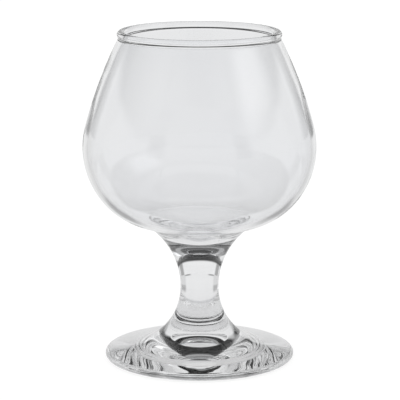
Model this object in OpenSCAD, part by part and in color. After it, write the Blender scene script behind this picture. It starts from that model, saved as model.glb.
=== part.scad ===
// Brandy snifter of clear pressed and blown glass: a round bowl, a short waisted stem and a disc foot.
// Millimetres, Z up, the table is at Z = 0 and the axis of the glass is the Z axis.
// Each piece is one closed outline of arcs and lines, turned once round the axis.
// An outline point is [radius, height]. Angles are in degrees, 0 pointing outwards and 90 pointing up.

/* [Overall] */
// Height from the table to the top of the rim
height = 127; // [122:0.5:132]
// Outside diameter of the bowl at its widest
belly_d = 89; // [84:0.5:94]
// Outside diameter of the foot
foot_d = 72.8; // [66:0.2:80]
// Diameter of the stem at its waist
waist_d = 14.7; // [11:0.1:18]

/* [Outside of the bowl] */
// Height of the widest part of the bowl
belly_z = 82.5; // [80:0.1:86]
// Outside radius of the curve round the widest part
belly_arc = 32.1; // [30:0.1:34]
// Outside radius of the long curve from the widest part up to the rim
shoulder_arc = 172; // [150:1:200]
// Angle on the belly's curve where the shoulder begins
shoulder_angle = 15; // [13:0.1:17]
// Outside radius of the curve under the bowl
heel_arc = 28.2; // [26:0.1:29]
// Angle on the belly's curve, below the horizontal, where the heel begins
heel_angle = 37; // [30:0.5:45]

/* [Inside of the bowl] */
// Thickness of the blown wall round the belly and the heel
wall = 2; // [1.5:0.1:2.4]
// Inside radius of the shoulder: the larger it is, the thinner the wall grows towards the rim
shoulder_inside = 181; // [165:1:200]
// Slope of the inside from the well up to the heel
well_slope = 14.5; // [11:0.5:18]
// Radius of the rounded lowest part of the inside
well_arc = 18; // [10:0.5:26]

/* [Rim] */
// Thickness of the fire-polished bead round the rim
bead_d = 3; // [2.7:0.1:3.6]
// Radius of the hollow where the bead rolls into the outside of the wall
bead_fillet = 1.4; // [0.6:0.1:2]

/* [Stem] */
// Diameter of the collar where its curve meets the curve under the bowl
collar_d = 40.4; // [36:0.1:44]
// Radius of the hollow that softens that corner
collar_fillet = 1.2; // [0.5:0.1:3]
// Height of the weld between the bowl and the stem
bowl_weld_z = 43; // [40:0.1:45]
// Height of the weld between the stem and the foot
foot_weld_z = 16; // [13:0.1:19]

/* [Foot] */
// Radius of the sweep from the stem down to the foot
sweep_arc = 23.5; // [21:0.1:26]
// Slope of the top of the foot
foot_slope = 9; // [6:0.5:12]
// Radius of the rounded edge of the foot
edge_r = 1.45; // [1.1:0.05:1.8]
// Height of the middle of that edge
edge_z = 1.85; // [1.8:0.05:2.4]
// Distance from the edge of the foot in to the flat ring that the glass stands on
ring_inset = 2.4; // [1.8:0.1:5]
// Diameter of the hollow inside that ring, at its mouth
hollow_d = 50; // [44:0.5:54]
// Height of the flat roof of the hollow
hollow_z = 2.6; // [2:0.1:3]
// Steepness of the rounded step up to that roof
step_angle = 75; // [60:1:85]
// Diameter of the dome in the middle of the roof
dome_d = 16; // [12:0.5:24]
// Rise of the dome over the roof
dome_h = 2.6; // [2:0.1:3.5]
// Radius of the rounded mouth of the dome
dome_lip = 1; // [0.5:0.1:2]

/* [Hidden] */
// Furthest that a straight step of an outline lies from its true arc
arc_error = 0.02;
// Points closer than this are one point
same_point = 0.001;
$fn = 128;
clear_glass = [0.86, 0.9, 0.92, 0.45];

// Unit vector at an angle
function toward(angle) = [cos(angle), sin(angle)];

// Angle of a vector
function angle_of(v) = atan2(v[1], v[0]);

// Points of an arc from angle a to angle b, both ends included
function arc(centre, r, a, b) =
    let (steps = max(2, ceil(abs(b - a) / (2 * acos(1 - arc_error / r)))))
    [for (i = [0 : steps]) centre + r * toward(a + (b - a) * i / steps)];

// Where two circles meet, on the right of the way from the first middle to the second
function meeting(c1, r1, c2, r2) =
    let (
        way = c2 - c1,
        along = (r1 ^ 2 - r2 ^ 2 + way * way) / (2 * norm(way)),
        aside = sqrt(r1 ^ 2 - along ^ 2)
    )
    c1 + (along * way + aside * [way[1], -way[0]]) / norm(way);

// An outline without the points that repeat the one before, where an arc begins at the end of the last
function outline(points) =
    [for (i = [0 : len(points) - 1]) if (i == 0 || norm(points[i] - points[i - 1]) > same_point) points[i]];

// Middles of the bowl's arcs. Each touches its neighbour at the angle where one passes into the other,
// and the inside of the belly and the heel keeps the same middles as the outside.
belly_c = [belly_d / 2 - belly_arc, belly_z];
belly_inside = belly_arc - wall;
heel_c = belly_c + (belly_arc - heel_arc) * toward(-heel_angle);
heel_inside = heel_arc - wall;
shoulder_c = belly_c + (belly_arc - shoulder_arc) * toward(shoulder_angle);
shoulder_inside_c = belly_c + (belly_inside - shoulder_inside) * toward(shoulder_angle);

// Well: a rounded bottom, and a slope that touches it and the inside of the heel
well_normal = toward(90 + well_slope);
well_c = [0, (well_arc - heel_inside + heel_c * well_normal) / well_normal[1]];

// Rim bead: level with the wall inside and proud of it outside
bead_r = bead_d / 2;
bead_reach = shoulder_inside + bead_r;
rim_angle = asin((height - bead_r - shoulder_inside_c[1]) / bead_reach);
bead_c = shoulder_inside_c + bead_reach * toward(rim_angle);

// Hollow between the bead and the outside of the wall, touching both
bead_fillet_c = meeting(shoulder_c, shoulder_arc + bead_fillet, bead_c, bead_r + bead_fillet);
bead_end = angle_of(bead_fillet_c - bead_c);
shoulder_end = angle_of(bead_fillet_c - shoulder_c);

// Foot: a rounded edge, a sloping top and a sweep up to the waist, each touching the next
waist_r = waist_d / 2;
foot_r = foot_d / 2;
edge_c = [foot_r - edge_r, edge_z];
foot_normal = toward(90 - foot_slope);
edge_top = edge_c + edge_r * foot_normal;
sweep_x = waist_r + sweep_arc;
waist_z = edge_top[1] + (sweep_arc - (sweep_x - edge_top[0]) * foot_normal[0]) / foot_normal[1];
sweep_c = [sweep_x, waist_z];

// Standing ring, and the bevel from it up to the edge
ring_r = foot_r - ring_inset;
bevel = [ring_r, 0] - edge_c;
bevel_angle = angle_of(bevel) + acos(edge_r / norm(bevel));

// Hollow under the foot: a step of two equal arcs, a flat roof, and a dome with a rounded mouth
step_r = hollow_z / (2 * (1 - cos(step_angle)));
step_c = [hollow_d / 2, step_r];
roof_c = step_c + 2 * step_r * toward(270 - step_angle);
dome_arc = ((dome_d / 2) ^ 2 + dome_h ^ 2) / (2 * dome_h);
dome_c = [0, hollow_z + dome_h - dome_arc];
lip_z = hollow_z + dome_lip;
lip_c = [sqrt((dome_arc + dome_lip) ^ 2 - (lip_z - dome_c[1]) ^ 2), lip_z];
lip_angle = angle_of(lip_c - dome_c);

// Collar: from the waist up to the underside of the bowl, with a hollow in the corner that touches both
collar_r = collar_d / 2;
collar_z = heel_c[1] - sqrt(heel_arc ^ 2 - (collar_r - heel_c[0]) ^ 2);
collar_run = collar_r - waist_r;
collar_arc = (collar_run ^ 2 + (collar_z - waist_z) ^ 2) / (2 * collar_run);
collar_c = [waist_r + collar_arc, waist_z];
collar_fillet_c = meeting(heel_c, heel_arc + collar_fillet, collar_c, collar_arc - collar_fillet);
collar_angle = angle_of(collar_fillet_c - collar_c);

// Angle on the collar's or the sweep's curve at a height
function waist_angle(centre, r, z) = 180 - asin((z - centre[1]) / r);

bowl_weld_angle = waist_angle(collar_c, collar_arc, bowl_weld_z);
foot_weld_angle = waist_angle(sweep_c, sweep_arc, foot_weld_z);

// Thin blown bowl with its rim bead, and the collar below it that was drawn down from the same glass
module bowl() {
    inside = concat(
        arc(well_c, well_arc, -90, well_slope - 90),
        arc(heel_c, heel_inside, well_slope - 90, -heel_angle),
        arc(belly_c, belly_inside, -heel_angle, shoulder_angle),
        arc(shoulder_inside_c, shoulder_inside, shoulder_angle, rim_angle)
    );
    rim = concat(
        arc(bead_c, bead_r, rim_angle + 180, bead_end),
        arc(bead_fillet_c, bead_fillet, bead_end + 180, shoulder_end + 180)
    );
    outside = concat(
        arc(shoulder_c, shoulder_arc, shoulder_end, shoulder_angle),
        arc(belly_c, belly_arc, shoulder_angle, -heel_angle),
        arc(heel_c, heel_arc, -heel_angle, angle_of(collar_fillet_c - heel_c)),
        arc(collar_fillet_c, collar_fillet, angle_of(heel_c - collar_fillet_c), collar_angle),
        arc(collar_c, collar_arc, collar_angle, bowl_weld_angle)
    );
    color(clear_glass)
        rotate_extrude()
            polygon(outline(concat(inside, rim, outside, [[0, bowl_weld_z]])));
}

// Solid waisted stem between the two welds
module stem() {
    side = concat(
        arc(collar_c, collar_arc, bowl_weld_angle, 180),
        arc(sweep_c, sweep_arc, 180, foot_weld_angle)
    );
    color(clear_glass)
        rotate_extrude()
            polygon(outline(concat([[0, bowl_weld_z]], side, [[0, foot_weld_z]])));
}

// Pressed disc foot with the boss that meets the stem, and a standing ring and a stepped hollow underneath
module foot() {
    top = concat(
        arc(sweep_c, sweep_arc, foot_weld_angle, 270 - foot_slope),
        arc(edge_c, edge_r, 90 - foot_slope, bevel_angle)
    );
    underside = concat(
        [[ring_r, 0]],
        arc(step_c, step_r, 270, 270 - step_angle),
        arc(roof_c, step_r, 90 - step_angle, 90),
        arc(lip_c, dome_lip, 270, lip_angle + 180),
        arc(dome_c, dome_arc, lip_angle, 90)
    );
    color(clear_glass)
        rotate_extrude()
            polygon(outline(concat([[0, foot_weld_z]], top, underside)));
}

bowl();
stem();
foot();
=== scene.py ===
"""Looks of a clear glass brandy snifter: bowl, stem and foot, each turned from its outline.

Sizes are metres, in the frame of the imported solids: Z is the axis of the glass and Z = 0 is the table.
An outline point is (radius, height). Angles are degrees, 0 pointing outwards and 90 pointing up.
"""

import math

import bpy
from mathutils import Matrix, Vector


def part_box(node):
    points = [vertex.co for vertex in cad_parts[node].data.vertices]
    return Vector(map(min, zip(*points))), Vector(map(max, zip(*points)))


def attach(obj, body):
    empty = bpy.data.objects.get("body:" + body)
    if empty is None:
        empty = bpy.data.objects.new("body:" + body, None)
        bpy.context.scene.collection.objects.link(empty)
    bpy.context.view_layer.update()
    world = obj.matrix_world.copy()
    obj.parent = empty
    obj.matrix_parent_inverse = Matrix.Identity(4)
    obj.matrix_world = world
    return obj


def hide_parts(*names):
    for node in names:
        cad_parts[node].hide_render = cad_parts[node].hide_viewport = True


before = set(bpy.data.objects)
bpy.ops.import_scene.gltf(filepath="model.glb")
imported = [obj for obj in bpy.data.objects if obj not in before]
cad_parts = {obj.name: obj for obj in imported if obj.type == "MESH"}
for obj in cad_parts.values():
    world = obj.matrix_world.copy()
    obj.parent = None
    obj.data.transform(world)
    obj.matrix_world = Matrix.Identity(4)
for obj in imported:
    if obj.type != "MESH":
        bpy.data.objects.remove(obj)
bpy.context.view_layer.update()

MM = 0.001

# Sizes that the frame gives
bowl_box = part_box("bowl")
stem_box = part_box("stem")
foot_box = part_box("foot")
height = bowl_box[1].z
belly_r = bowl_box[1].x
foot_r = foot_box[1].x
bowl_weld_z = stem_box[1].z
foot_weld_z = stem_box[0].z

# Sizes of the bowl's curves
belly_z = 82.5 * MM
belly_arc = 32.1 * MM
shoulder_arc = 172 * MM
shoulder_angle = 15
heel_arc = 28.2 * MM
heel_angle = 37
wall = 2 * MM
shoulder_inside = 181 * MM
well_slope = 14.5
well_arc = 18 * MM
bead_r = 1.5 * MM
bead_fillet = 1.4 * MM

# Sizes of the stem's and the foot's curves
waist_r = 7.35 * MM
collar_r = 20.2 * MM
collar_fillet = 1.2 * MM
sweep_arc = 23.5 * MM
foot_slope = 9
edge_r = 1.45 * MM
edge_z = 1.85 * MM
ring_inset = 2.4 * MM
hollow_r = 25 * MM
hollow_z = 2.6 * MM
step_angle = 75
dome_r = 8 * MM
dome_h = 2.6 * MM
dome_lip = 1 * MM

# Fineness of the turned pieces
SEGMENTS = 256
ARC_STEP = 2.5
ARC_CHORD = 1.2 * MM
MERGE = 0.001 * MM
SHARP = 25

# Turns of a ray inside the thick glass before it is given up
BOUNCES = 48

DEGREES = 180 / math.pi


class Wire:
    """One output socket of a node tree. Arithmetic adds Math nodes, and add() puts in any other node."""

    def __init__(self, tree, socket=None):
        self.tree = tree
        self.socket = socket

    def add(self, kind, settings=None, inputs=None, output=0):
        """A node of any type: its settings first, then the values or wires of its sockets."""
        node = self.tree.nodes.new(kind)
        for name, value in (settings or {}).items():
            if name == "stops":
                fill_ramp(node.color_ramp, value)
            else:
                setattr(node, name, value)
        for name, value in (inputs or {}).items():
            if isinstance(value, Wire):
                self.tree.links.new(value.socket, node.inputs[name])
            else:
                node.inputs[name].default_value = value
        return Wire(self.tree, node.outputs[output] if len(node.outputs) else None)

    def out(self, name):
        """Another output of the node that this wire comes from."""
        return Wire(self.tree, self.socket.node.outputs[name])

    def math(self, operation, *values, swap=False):
        terms = (*values, self) if swap else (self, *values)
        return self.add("ShaderNodeMath", {"operation": operation}, dict(enumerate(terms)))

    def __add__(self, other):
        return self.math("ADD", other)

    def __radd__(self, other):
        return self.math("ADD", other)

    def __sub__(self, other):
        return self.math("SUBTRACT", other)

    def __rsub__(self, other):
        return self.math("SUBTRACT", other, swap=True)

    def __mul__(self, other):
        return self.math("MULTIPLY", other)

    def __rmul__(self, other):
        return self.math("MULTIPLY", other)

    def __truediv__(self, other):
        return self.math("DIVIDE", other)

    def step(self, low, high):
        """0 below low, 1 above high, and a smooth rise between them."""
        inputs = {"Value": self, "From Min": low, "From Max": high}
        return self.add("ShaderNodeMapRange", {"interpolation_type": "SMOOTHSTEP"}, inputs)

    def band(self, low, high, soft):
        """1 between low and high, with soft edges."""
        return self.step(low - soft, low + soft) * (1 - self.step(high - soft, high + soft))

    def between(self, start, end):
        """start where the value is 0, end where it is 1, and an even mix of them in between."""
        return start + (end - start) * self

    def away(self, middle, period):
        """How far the value is from the nearest of the middles, which come again after each period."""
        turns = (self - middle) / period + 0.5
        return (turns.math("FRACT") - 0.5).math("ABSOLUTE") * period


def fill_ramp(ramp, stops):
    while len(ramp.elements) < len(stops):
        ramp.elements.new(1)
    for element, (position, colour) in zip(ramp.elements, stops):
        element.position = position
        element.color = colour


# Outlines


def toward(angle):
    return Vector((math.cos(math.radians(angle)), math.sin(math.radians(angle))))


def angle_of(vector):
    return math.degrees(math.atan2(vector.y, vector.x))


def arc(centre, radius, start, end):
    """Points of an arc from one angle to another, both ends included."""
    turn = abs(end - start)
    count = max(2, math.ceil(turn / ARC_STEP), math.ceil(radius * math.radians(turn) / ARC_CHORD))
    return [centre + radius * toward(start + (end - start) * i / count) for i in range(count + 1)]


def joined(*runs):
    """One outline from runs of points, with a point that two runs share kept once."""
    points = []
    for point in (p for run in runs for p in run):
        if not points or (point - points[-1]).length > MERGE:
            points.append(point)
    return points


def meeting(first, first_r, second, second_r):
    """Where two circles meet, on the right of the way from the first middle to the second."""
    way = second - first
    gap = way.length
    along = (first_r ** 2 - second_r ** 2 + gap ** 2) / (2 * gap)
    aside = math.sqrt(first_r ** 2 - along ** 2)
    return first + (along * way + aside * Vector((way.y, -way.x))) / gap


def waist_angle(centre, radius, z):
    """Angle on the collar's or the sweep's curve at a height."""
    return 180 - math.degrees(math.asin((z - centre.y) / radius))


belly_c = Vector((belly_r - belly_arc, belly_z))
heel_c = belly_c + (belly_arc - heel_arc) * toward(-heel_angle)

edge_c = Vector((foot_r - edge_r, edge_z))
foot_normal = toward(90 - foot_slope)
edge_top = edge_c + edge_r * foot_normal
sweep_x = waist_r + sweep_arc
waist_z = edge_top.y + (sweep_arc - (sweep_x - edge_top.x) * foot_normal.x) / foot_normal.y
sweep_c = Vector((sweep_x, waist_z))

collar_z = heel_c.y - math.sqrt(heel_arc ** 2 - (collar_r - heel_c.x) ** 2)
collar_run = collar_r - waist_r
collar_arc = (collar_run ** 2 + (collar_z - waist_z) ** 2) / (2 * collar_run)
collar_c = Vector((waist_r + collar_arc, waist_z))
bowl_weld_angle = waist_angle(collar_c, collar_arc, bowl_weld_z)
foot_weld_angle = waist_angle(sweep_c, sweep_arc, foot_weld_z)


def bowl_outline():
    """From the well inside, up over the rim bead, down the outside and across the weld."""
    belly_inside = belly_arc - wall
    heel_inside = heel_arc - wall
    shoulder_c = belly_c + (belly_arc - shoulder_arc) * toward(shoulder_angle)
    shoulder_inside_c = belly_c + (belly_inside - shoulder_inside) * toward(shoulder_angle)

    well_normal = toward(90 + well_slope)
    well_c = Vector((0, (well_arc - heel_inside + heel_c.dot(well_normal)) / well_normal.y))

    bead_reach = shoulder_inside + bead_r
    rim_angle = math.degrees(math.asin((height - bead_r - shoulder_inside_c.y) / bead_reach))
    bead_c = shoulder_inside_c + bead_reach * toward(rim_angle)
    bead_fillet_c = meeting(shoulder_c, shoulder_arc + bead_fillet, bead_c, bead_r + bead_fillet)
    bead_end = angle_of(bead_fillet_c - bead_c)
    shoulder_end = angle_of(bead_fillet_c - shoulder_c)

    collar_fillet_c = meeting(heel_c, heel_arc + collar_fillet, collar_c, collar_arc - collar_fillet)
    collar_angle = angle_of(collar_fillet_c - collar_c)
    return joined(
        arc(well_c, well_arc, -90, well_slope - 90),
        arc(heel_c, heel_inside, well_slope - 90, -heel_angle),
        arc(belly_c, belly_inside, -heel_angle, shoulder_angle),
        arc(shoulder_inside_c, shoulder_inside, shoulder_angle, rim_angle),
        arc(bead_c, bead_r, rim_angle + 180, bead_end),
        arc(bead_fillet_c, bead_fillet, bead_end + 180, shoulder_end + 180),
        arc(shoulder_c, shoulder_arc, shoulder_end, shoulder_angle),
        arc(belly_c, belly_arc, shoulder_angle, -heel_angle),
        arc(heel_c, heel_arc, -heel_angle, angle_of(collar_fillet_c - heel_c)),
        arc(collar_fillet_c, collar_fillet, angle_of(heel_c - collar_fillet_c), collar_angle),
        arc(collar_c, collar_arc, collar_angle, bowl_weld_angle),
        [Vector((0, bowl_weld_z))],
    )


def stem_outline():
    """From the upper weld, down the waisted side to the lower weld."""
    return joined(
        [Vector((0, bowl_weld_z))],
        arc(collar_c, collar_arc, bowl_weld_angle, 180),
        arc(sweep_c, sweep_arc, 180, foot_weld_angle),
        [Vector((0, foot_weld_z))],
    )


def foot_outline():
    """From the weld, down the sweep, round the edge, over the standing ring and into the hollow."""
    ring_r = foot_r - ring_inset
    bevel = Vector((ring_r, 0)) - edge_c
    bevel_angle = angle_of(bevel) + math.degrees(math.acos(edge_r / bevel.length))

    step_r = hollow_z / (2 * (1 - math.cos(math.radians(step_angle))))
    step_c = Vector((hollow_r, step_r))
    roof_c = step_c + 2 * step_r * toward(270 - step_angle)
    dome_arc = (dome_r ** 2 + dome_h ** 2) / (2 * dome_h)
    dome_c = Vector((0, hollow_z + dome_h - dome_arc))
    lip_z = hollow_z + dome_lip
    lip_c = Vector((math.sqrt((dome_arc + dome_lip) ** 2 - (lip_z - dome_c.y) ** 2), lip_z))
    lip_angle = angle_of(lip_c - dome_c)
    return joined(
        [Vector((0, foot_weld_z))],
        arc(sweep_c, sweep_arc, foot_weld_angle, 270 - foot_slope),
        arc(edge_c, edge_r, 90 - foot_slope, bevel_angle),
        [Vector((ring_r, 0))],
        arc(step_c, step_r, 270, 270 - step_angle),
        arc(roof_c, step_r, 90 - step_angle, 90),
        arc(lip_c, dome_lip, 270, lip_angle + 180),
        arc(dome_c, dome_arc, lip_angle, 90),
    )


# Turning an outline into a closed piece


def turning_tree():
    """Turns an outline round Z, with seam and poles closed. The weld faces get their own material."""
    tree = bpy.data.node_groups.new("turn the outline", "GeometryNodeTree")
    new = tree.interface.new_socket
    new("Outline", in_out="INPUT", socket_type="NodeSocketGeometry")
    new("Segments", in_out="INPUT", socket_type="NodeSocketInt")
    new("Sharp angle", in_out="INPUT", socket_type="NodeSocketFloat")
    new("Merge distance", in_out="INPUT", socket_type="NodeSocketFloat")
    new("Upper weld height", in_out="INPUT", socket_type="NodeSocketFloat")
    new("Lower weld height", in_out="INPUT", socket_type="NodeSocketFloat")
    new("Glass", in_out="INPUT", socket_type="NodeSocketMaterial")
    new("Weld", in_out="INPUT", socket_type="NodeSocketMaterial")
    new("Piece", in_out="OUTPUT", socket_type="NodeSocketGeometry")

    given = Wire(tree).add("NodeGroupInput")
    outline = given.out("Outline")
    segments = given.out("Segments")
    rows = given.add("GeometryNodeAttributeDomainSize", {"component": "MESH"}, {"Geometry": outline})
    columns = segments + 1
    grid = given.add("GeometryNodeMeshGrid", None, {"Vertices X": rows, "Vertices Y": columns})

    index = given.add("GeometryNodeInputIndex")
    row = (index / columns + 0.5 / (SEGMENTS + 1)).math("FLOOR")
    turn = (index - row * columns) / segments * math.tau
    place = given.add("GeometryNodeInputPosition")
    sample = {"data_type": "FLOAT_VECTOR", "domain": "POINT"}
    point = given.add("GeometryNodeSampleIndex", sample, {"Geometry": outline, "Value": place, "Index": row})
    split = given.add("ShaderNodeSeparateXYZ", None, {"Vector": point})
    radius = split.out("X")
    turned = given.add("ShaderNodeCombineXYZ", None, {
        "X": radius * turn.math("COSINE"),
        "Y": radius * turn.math("SINE"),
        "Z": split.out("Z"),
    })
    shell = given.add("GeometryNodeSetPosition", None, {"Geometry": grid, "Position": turned})
    shell = given.add("GeometryNodeMergeByDistance", None, {
        "Geometry": shell,
        "Distance": given.out("Merge distance"),
    })

    bend = given.add("GeometryNodeInputMeshEdgeAngle")
    corner = given.add("FunctionNodeCompare", {"operation": "GREATER_THAN"}, {
        "A": bend,
        "B": given.out("Sharp angle"),
    })
    shell = given.add("GeometryNodeSetShadeSmooth", {"domain": "FACE"}, {
        "Geometry": shell,
        "Shade Smooth": True,
    })
    shell = given.add("GeometryNodeSetShadeSmooth", {"domain": "EDGE"}, {
        "Geometry": shell,
        "Selection": corner,
        "Shade Smooth": False,
    })

    level = given.add("ShaderNodeSeparateXYZ", None, {"Vector": place}).out("Z")
    shell = given.add("GeometryNodeRealizeInstances", None, {"Geometry": shell})
    shell = given.add("GeometryNodeSetMaterial", None, {"Geometry": shell, "Material": given.out("Glass")})
    for weld in ("Upper weld height", "Lower weld height"):
        near = (level - given.out(weld)).math("ABSOLUTE")
        on_weld = near.math("LESS_THAN", given.out("Merge distance"))
        shell = given.add("GeometryNodeSetMaterial", None, {
            "Geometry": shell,
            "Selection": on_weld,
            "Material": given.out("Weld"),
        })
    given.add("NodeGroupOutput", None, {"Piece": shell})
    return tree


def turned_piece(name, outline, tree, glass, weld):
    """A closed mesh object of one piece of glass, at the origin."""
    mesh = bpy.data.meshes.new(name + " outline")
    edges = [(i, i + 1) for i in range(len(outline) - 1)]
    mesh.from_pydata([(p.x, 0, p.y) for p in outline], edges, [])
    former = bpy.data.objects.new(name + " outline", mesh)
    bpy.context.scene.collection.objects.link(former)
    modifier = former.modifiers.new("turn", "NODES")
    modifier.node_group = tree
    values = {
        "Segments": SEGMENTS,
        "Sharp angle": math.radians(SHARP),
        "Merge distance": MERGE,
        "Upper weld height": bowl_weld_z,
        "Lower weld height": foot_weld_z,
        "Glass": glass,
        "Weld": weld,
    }
    for item in tree.interface.items_tree:
        if item.name in values:
            modifier[item.identifier] = values[item.name]
    depsgraph = bpy.context.evaluated_depsgraph_get()
    made = bpy.data.meshes.new_from_object(former.evaluated_get(depsgraph))
    bpy.data.objects.remove(former)
    made.name = name
    piece = bpy.data.objects.new(name, made)
    bpy.context.scene.collection.objects.link(piece)
    return piece


# Materials


def new_material(name):
    """A material with an empty node tree, and a wire to build the tree with."""
    material = bpy.data.materials.new(name)
    material.use_nodes = True
    material.node_tree.nodes.clear()
    return material, Wire(material.node_tree)


def azimuth_of(axes):
    """Degrees round the axis: 0 straight behind the glass, and positive to the right."""
    return axes.out("X").math("ARCTAN2", axes.out("Y")) * DEGREES


def seen_by_glass(rays):
    """1 for rays that the glass mirrors or bends, and 0 for the others."""
    return rays.out("Is Glossy Ray").math("MAXIMUM", rays.out("Is Transmission Ray"))


def clear_glass():
    """Fire-polished clear glass: a trace of blue-grey, a little haze, a face that isn't quite even."""
    deep_tint = (0.978, 0.984, 0.996, 1)
    pale_tint = (0.99, 0.994, 1, 1)
    most_haze = 0.012
    unevenness = 0.1 * MM

    material, tree = new_material("clear glass")
    place = tree.add("ShaderNodeTexCoord").out("Object")
    cloud = tree.add("ShaderNodeTexNoise", None, {"Vector": place, "Scale": 20, "Detail": 2})
    tint = tree.add("ShaderNodeValToRGB", {"stops": [(0.35, deep_tint), (0.65, pale_tint)]}, {0: cloud})
    haze = tree.add("ShaderNodeTexNoise", None, {"Vector": place, "Scale": 45, "Detail": 4})
    wave = tree.add("ShaderNodeTexNoise", None, {"Vector": place, "Scale": 70, "Detail": 1})
    bump = tree.add("ShaderNodeBump", None, {"Strength": 1, "Distance": unevenness, "Height": wave})
    shader = tree.add("ShaderNodeBsdfPrincipled", None, {
        "Base Color": tint,
        "Roughness": most_haze * haze.step(0.5, 0.75),
        "IOR": 1.51,
        "Transmission Weight": 1,
        "Normal": bump,
    })
    tree.add("ShaderNodeOutputMaterial", None, {"Surface": shader})
    return material


def weld_glass():
    """The plane where two pieces meet: light passes it unbent, so it doesn't show."""
    material, tree = new_material("weld")
    shader = tree.add("ShaderNodeBsdfPrincipled", None, {"Base Color": (1, 1, 1, 1), "Alpha": 0})
    tree.add("ShaderNodeOutputMaterial", None, {"Surface": shader})
    return material


def floor_paint():
    """White sweep with a faint shadow, clear from below. Only the glass sees the shade painted on it."""
    camera_glow = 0.86
    glass_glow = 0.62
    # Depth of the painted shade in the wings, which only the glass sees
    wing_painted_shade = 0.8

    material, tree = new_material("white sweep")
    diffuse = tree.add("ShaderNodeBsdfDiffuse", None, {"Color": (0.25, 0.25, 0.25, 1)})
    place = tree.add("ShaderNodeTexCoord").out("Object")
    azimuth = azimuth_of(tree.add("ShaderNodeSeparateXYZ", None, {"Vector": place}))
    aside = azimuth.math("ABSOLUTE")
    distance = tree.add("ShaderNodeVectorMath", {"operation": "LENGTH"}, {0: place}, "Value")

    # Painted shade: dark wings far behind, left and right, which only the glass sees and which edge the upper
    # bowl
    painted_shade_wings = aside.band(18, 34, 4) * distance.step(0.8, 1.1)

    # Painted shade and shadow: grey lanes on the diagonals, deepest near the glass and behind it, which only
    # the glass sees and which edge the heel and the stem
    painted_shade_lanes = (1 - azimuth.away(45, 90).step(8, 16)) * distance.step(0.05, 0.08)
    behind = 1 - aside.step(65, 80)
    far = distance.step(0.11, 0.15)
    lane_painted_shade = far.between(0.3, 0.2) + behind * far.between(0.35, 0.05)

    rays = tree.add("ShaderNodeLightPath")
    # What the glass sees of the floor: its glow with the painted shade of the wings and lanes taken off
    shaded = glass_glow * (1 - wing_painted_shade * painted_shade_wings) * (1 - lane_painted_shade * painted_shade_lanes)
    glow = tree.add("ShaderNodeEmission", None, {
        "Color": (1, 1, 1, 1),
        "Strength": camera_glow * rays.out("Is Camera Ray") + shaded * seen_by_glass(rays),
    })
    lit = tree.add("ShaderNodeAddShader", None, {0: diffuse, 1: glow})
    below = tree.add("ShaderNodeNewGeometry").out("Backfacing")
    clear = tree.add("ShaderNodeBsdfTransparent")
    surface = tree.add("ShaderNodeMixShader", None, {0: below, 1: lit, 2: clear})
    tree.add("ShaderNodeOutputMaterial", None, {"Surface": surface})
    return material


# Studio


def studio_world():
    """White for the camera and plain for the floor. The glass sees a white sweep and a dark room above it."""
    plain_level = 0.8
    sweep_level = 0.85
    flag_dark = 0.6
    room_level = 0.01
    panel_level = 0.3
    front_level = 0.6

    world = bpy.data.worlds.new("studio")
    world.use_nodes = True
    world.node_tree.nodes.clear()
    bpy.context.scene.world = world
    tree = Wire(world.node_tree)
    axes = tree.add("ShaderNodeSeparateXYZ", None, {"Vector": tree.add("ShaderNodeTexCoord")})
    elevation = axes.out("Z").math("ARCSINE") * DEGREES
    azimuth = azimuth_of(axes)

    # The sweep's upright part, with a dark flag on each diagonal
    flags = 1 - azimuth.away(45, 90).step(5, 12)
    sweep = sweep_level * (1 - flag_dark * flags)

    # The room: a soft box on the right, a panel all round above, and a paler side in front of the glass
    soft_box = azimuth.band(88, 128, 12) * elevation.band(20, 40, 6)
    panel = panel_level * elevation.band(46, 58, 2)
    front = front_level * azimuth.math("ABSOLUTE").step(80, 130) * (1 - elevation.step(20, 80))
    room = room_level + panel + soft_box + front
    studio = elevation.step(14, 18).between(sweep, room)

    rays = tree.add("ShaderNodeLightPath")
    strength = rays.out("Is Camera Ray").between(seen_by_glass(rays).between(plain_level, studio), 1)
    light = tree.add("ShaderNodeBackground", None, {"Color": (1, 1, 1, 1), "Strength": strength})
    tree.add("ShaderNodeOutputWorld", None, {"Surface": light})


def white_floor():
    """A wide floor a hair under the standing ring, so that air stays between them."""
    side = 4.0
    z = -0.05 * MM
    corners = [(-side, -side, z), (side, -side, z), (side, side, z), (-side, side, z)]
    mesh = bpy.data.meshes.new("floor")
    mesh.from_pydata(corners, [], [(0, 1, 2, 3)])
    floor = bpy.data.objects.new("floor", mesh)
    bpy.context.scene.collection.objects.link(floor)
    mesh.materials.append(floor_paint())


def photo_camera():
    """The photograph's view: a little above the glass, from far off through a long lens."""
    rise = math.radians(11.8)
    distance = 770 * MM
    target_z = 61.75 * MM
    axis_px = 199.5
    focal_px = 2012
    frame_px = 400
    data = bpy.data.cameras.new("camera")
    data.sensor_width = 36
    data.lens = focal_px / frame_px * data.sensor_width
    data.shift_x = (frame_px / 2 - axis_px) / frame_px
    camera = bpy.data.objects.new("camera", data)
    camera.location = (0, -distance * math.cos(rise), target_z + distance * math.sin(rise))
    camera.rotation_euler = (math.pi / 2 - rise, 0, 0)
    bpy.context.scene.collection.objects.link(camera)
    bpy.context.scene.camera = camera


photo_camera()
studio_world()
white_floor()

glass = clear_glass()
weld = weld_glass()
tree = turning_tree()
for node, outline in (("bowl", bowl_outline()), ("stem", stem_outline()), ("foot", foot_outline())):
    piece = turned_piece(node + "_glass", outline, tree, glass, weld)
    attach(piece, "root")
    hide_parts(node)

scene = bpy.context.scene
scene.view_settings.view_transform = "Standard"
scene.cycles.max_bounces = BOUNCES
scene.cycles.transmission_bounces = BOUNCES
scene.cycles.glossy_bounces = BOUNCES // 2
scene.cycles.transparent_max_bounces = BOUNCES
